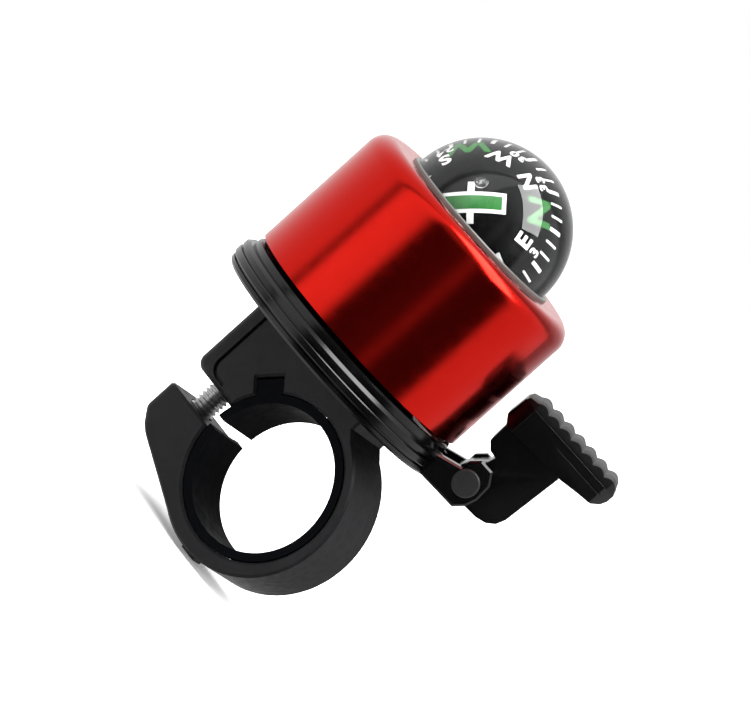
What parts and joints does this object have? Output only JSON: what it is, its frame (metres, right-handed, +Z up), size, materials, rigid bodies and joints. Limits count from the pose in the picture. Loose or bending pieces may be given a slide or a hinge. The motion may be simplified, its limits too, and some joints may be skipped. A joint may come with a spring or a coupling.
{
  "type": "bicycle bell",
  "caption": "Handlebar bell with a domed metal gong, thumb lever, inside striker, split bar clamp and a liquid-ball compass set in its top.",
  "frame": {"origin": "centre of the handlebar bore, half way along the clamp", "axes": "+Y along the handlebar, +Z up the bell's axis from the bar to the compass, -X towards the clamp screw"},
  "size_m": [0.0599, 0.0456, 0.0756],
  "materials": {
    "moulded_black": "satin moulded nylon, fine spark texture",
    "gloss_black": "polished moulded plastic",
    "pad_grip": "soft ribbed grip",
    "red_anodised": "polished, red anodised",
    "liner_rubber": "moulded rubber",
    "bright_steel": "zinc plated",
    "spring_steel": "drawn wire",
    "brass": "machined",
    "clear_lens": "clear polished plastic",
    "ball_black": "printed float",
    "white_plastic": "plain moulding",
    "magnet": "plain ferrite bar"
  },
  "bodies": {
    "base": {"base_body": "moulded_black", "base_rim": "gloss_black", "gong_post": "moulded_black", "clamp_bush": "liner_rubber", "clamp_screw": "bright_steel", "clamp_nut": "bright_steel", "gong": "red_anodised", "gong_isolator": "liner_rubber", "post_insert": "brass", "gong_washer": "spring_steel", "gong_screw": "bright_steel", "compass_cup": "moulded_black", "compass_seal": "liner_rubber", "compass_plug": "moulded_black", "compass_pad": "liner_rubber", "compass_lens": "clear_lens", "lever_pin": "bright_steel", "lever_clip": "spring_steel", "lever_spring": "spring_steel", "hammer_pin": "bright_steel", "hammer_spring": "spring_steel", "hammer_bumper": "liner_rubber"},
    "lever": {"thumb_lever": "gloss_black", "thumb_pad": "pad_grip"},
    "hammer": {"hammer_arm": "bright_steel", "hammer_head": "bright_steel"},
    "keel": {"compass_keel": "brass"},
    "ball": {"ball_top": "ball_black", "ball_bottom": "ball_black", "magnet_tray": "white_plastic", "compass_magnets": "magnet"}
  },
  "joints": [
    {"name": "lever_press", "type": "hinge", "parent": "base", "child": "lever", "pos_m": [0.01352, 0.01197, 0.021], "axis": [-0.4695, 0.8829, 0], "range_deg": [0, 15], "stiffness_Nm_per_rad": 0.03, "springref_deg": -34.38},
    {"name": "hammer_swing", "type": "hinge", "parent": "base", "child": "hammer", "pos_m": [0.00115, 0.0054, 0.022], "axis": [-0.4695, 0.8829, 0], "range_deg": [-27, 3], "stiffness_Nm_per_rad": 0.001},
    {"name": "compass_tilt", "type": "hinge", "parent": "base", "child": "keel", "pos_m": [-0.009, 0, 0.0464], "axis": [-0.9908, -0.1356, 0], "continuous": true},
    {"name": "compass_turn", "type": "hinge", "parent": "keel", "child": "ball", "pos_m": [-0.009, 0, 0.0464], "axis": [0.1329, -0.9714, 0.1969], "continuous": true}
  ],
  "couplings": [
    {"joint": "hammer_swing", "follows": "lever_press", "ratio": -1.8}
  ]
}
